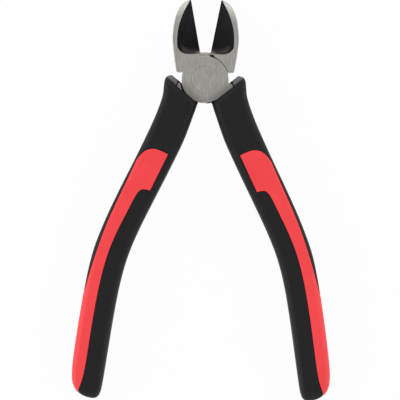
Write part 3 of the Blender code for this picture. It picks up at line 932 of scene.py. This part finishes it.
shell_black = soft_black("shell_black")
shell = swept("shell", grip_stations(), SHELL_INSET, shell_black)
window = through_grip("window", widened(inlay_outline(), GROOVE), shell_black)
shaped(shell, "DIFFERENCE", core_room(shell_black), *mouth_rooms(shell_black), window)
for side, body in GRIPS.items():
    fitted(shell, f"{side}_soft_shell", body, f"{side}_grip_shell")
bpy.data.objects.remove(shell)

# Red inlays
# Red soft plastic shot into the shell's window: a flag under the guard and a stripe that runs off the
# outer edge near the tail. It stands a little proud of the black, and a fine groove parts the two.
INLAY_TONES = ((0.95, 0.052, 0.062), (1.0, 0.062, 0.07))
INLAY_ROUGHNESS = (0.46, 0.58)
INLAY_RELIEF = (0.3, 0.00003)
INLAY_SPECULAR = 0.35


def soft_red(name):
    """Satin red soft plastic, a little uneven in tone, with the same fine mould grain."""
    made, tree, shader, place = finish_tree(name)
    grain, cloud = mottled(tree, place, *MOULD_GRAIN), mottled(tree, place, *TONE_CLOUD)
    coated(tree, shader, tinted(tree, cloud, *INLAY_TONES), ranged(tree, grain, *INLAY_ROUGHNESS))
    embossed(tree, shader, grain, *INLAY_RELIEF)
    shader.inputs["Specular IOR Level"].default_value = INLAY_SPECULAR
    return made


inlay_red = soft_red("inlay_red")
inlay = swept("inlay", grip_stations(), 0.0, inlay_red)
shaped(inlay, "INTERSECT", through_grip("inlay_outline", inlay_outline(), inlay_red))
shaped(inlay, "DIFFERENCE", core_room(inlay_red))
for side, body in GRIPS.items():
    fitted(inlay, f"{side}_red_inlay", body, f"{side}_grip_inlay")
bpy.data.objects.remove(inlay)
bpy.data.objects.remove(SECTION)

# Studio
# A white floor, a white tent with a dim ceiling, and three soft boxes: one past the jaws, one on each side.
# Places and sizes are in metres; the tent's tones go from the horizon, at 0, to straight above, at 1.
WHITE = (1.0, 1.0, 1.0, 1.0)
FLOOR_HALF = 3.0
FLOOR_WHITE = (0.9, 0.9, 0.9, 1.0)
FLOOR_GLOW = 0.965
TENT_TONES = [(0.0, 1.0), (0.58, 1.0), (0.71, 0.60), (0.90, 0.60), (1.0, 0.68)]
SOFT_BOXES = [
    ("jaw_box", (0.0, 0.95, 0.45), (0.9, 0.4), 0.7),
    ("left_box", (-1.0, 0.0, 0.40), (0.4, 0.9), 2.4),
    ("right_box", (1.0, 0.0, 0.55), (0.4, 0.9), 1.4),
]


def white_paper(name):
    """White paper that glows, to the lens and in the steel, and keeps a faint shadow."""
    made, tree, shader, _ = finish_tree(name)
    tree.nodes.remove(shader)
    rays = add(tree, "ShaderNodeLightPath").outputs
    seen = maths(tree, "MAXIMUM", rays["Is Camera Ray"], rays["Is Glossy Ray"])
    seen = maths(tree, "MAXIMUM", seen, rays["Is Transmission Ray"])
    paper = add(tree, "ShaderNodeBsdfDiffuse", {"Color": FLOOR_WHITE}).outputs[0]
    glow = add(tree, "ShaderNodeEmission", {"Color": WHITE, "Strength": 1.0}).outputs[0]
    share = maths(tree, "MULTIPLY", seen, FLOOR_GLOW)
    lit = add(tree, "ShaderNodeMixShader", {0: share, 1: paper, 2: glow}).outputs[0]
    tree.links.new(lit, tree.nodes["Material Output"].inputs["Surface"])
    return made


def white_tent(name):
    """A world that is bright at the horizon and dimmer above."""
    made = bpy.data.worlds.new(name)
    made.use_nodes = True
    tree = made.node_tree
    direction = add(tree, "ShaderNodeTexCoord").outputs["Generated"]
    height = add(tree, "ShaderNodeSeparateXYZ", {0: direction}).outputs["Z"]
    tones = add(tree, "ShaderNodeValToRGB", {"Fac": height})
    stops = tones.color_ramp.elements
    for place, _ in TENT_TONES[1:-1]:
        stops.new(place)
    for stop, (place, tone) in zip(stops, TENT_TONES):
        stop.position = place
        stop.color = (tone, tone, tone, 1.0)
    tree.links.new(tones.outputs["Color"], tree.nodes["Background"].inputs["Color"])
    return made


floor_corners = [(x * FLOOR_HALF, y * FLOOR_HALF, 0.0) for x, y in ((-1, -1), (1, -1), (1, 1), (-1, 1))]
floor = solid("floor", floor_corners, [(0, 1, 2, 3)], white_paper("white_floor"))
bpy.context.scene.world = white_tent("tent")
for name, spot, size, watts in SOFT_BOXES:
    lamp = bpy.data.lights.new(name, "AREA")
    lamp.shape = "RECTANGLE"
    lamp.size, lamp.size_y = size
    lamp.energy = watts
    box = bpy.data.objects.new(name, lamp)
    box.location = spot
    box.rotation_euler = (-Vector(spot)).to_track_quat("-Z", "Y").to_euler()
    bpy.context.scene.collection.objects.link(box)

# Camera
# A long lens straight above the tool, turned a little, as the tool lies a little askew in the picture.
# Sizes here are in metres: the width and the middle of the view at the pivot's height.
VIEW_WIDTH = 0.1542
VIEW_CENTRE = (-0.0013, -0.00015)
VIEW_TURN = math.radians(0.82)
LENS_DISTANCE = 1.2
lens = bpy.data.cameras.new("long_lens")
lens.lens = lens.sensor_width * LENS_DISTANCE / VIEW_WIDTH
camera = bpy.data.objects.new("camera", lens)
camera.location = (*VIEW_CENTRE, PIVOT.z + LENS_DISTANCE)
camera.rotation_euler = (0.0, 0.0, VIEW_TURN)
bpy.context.scene.collection.objects.link(camera)
bpy.context.scene.camera = camera
bpy.context.scene.view_settings.view_transform = "Standard"
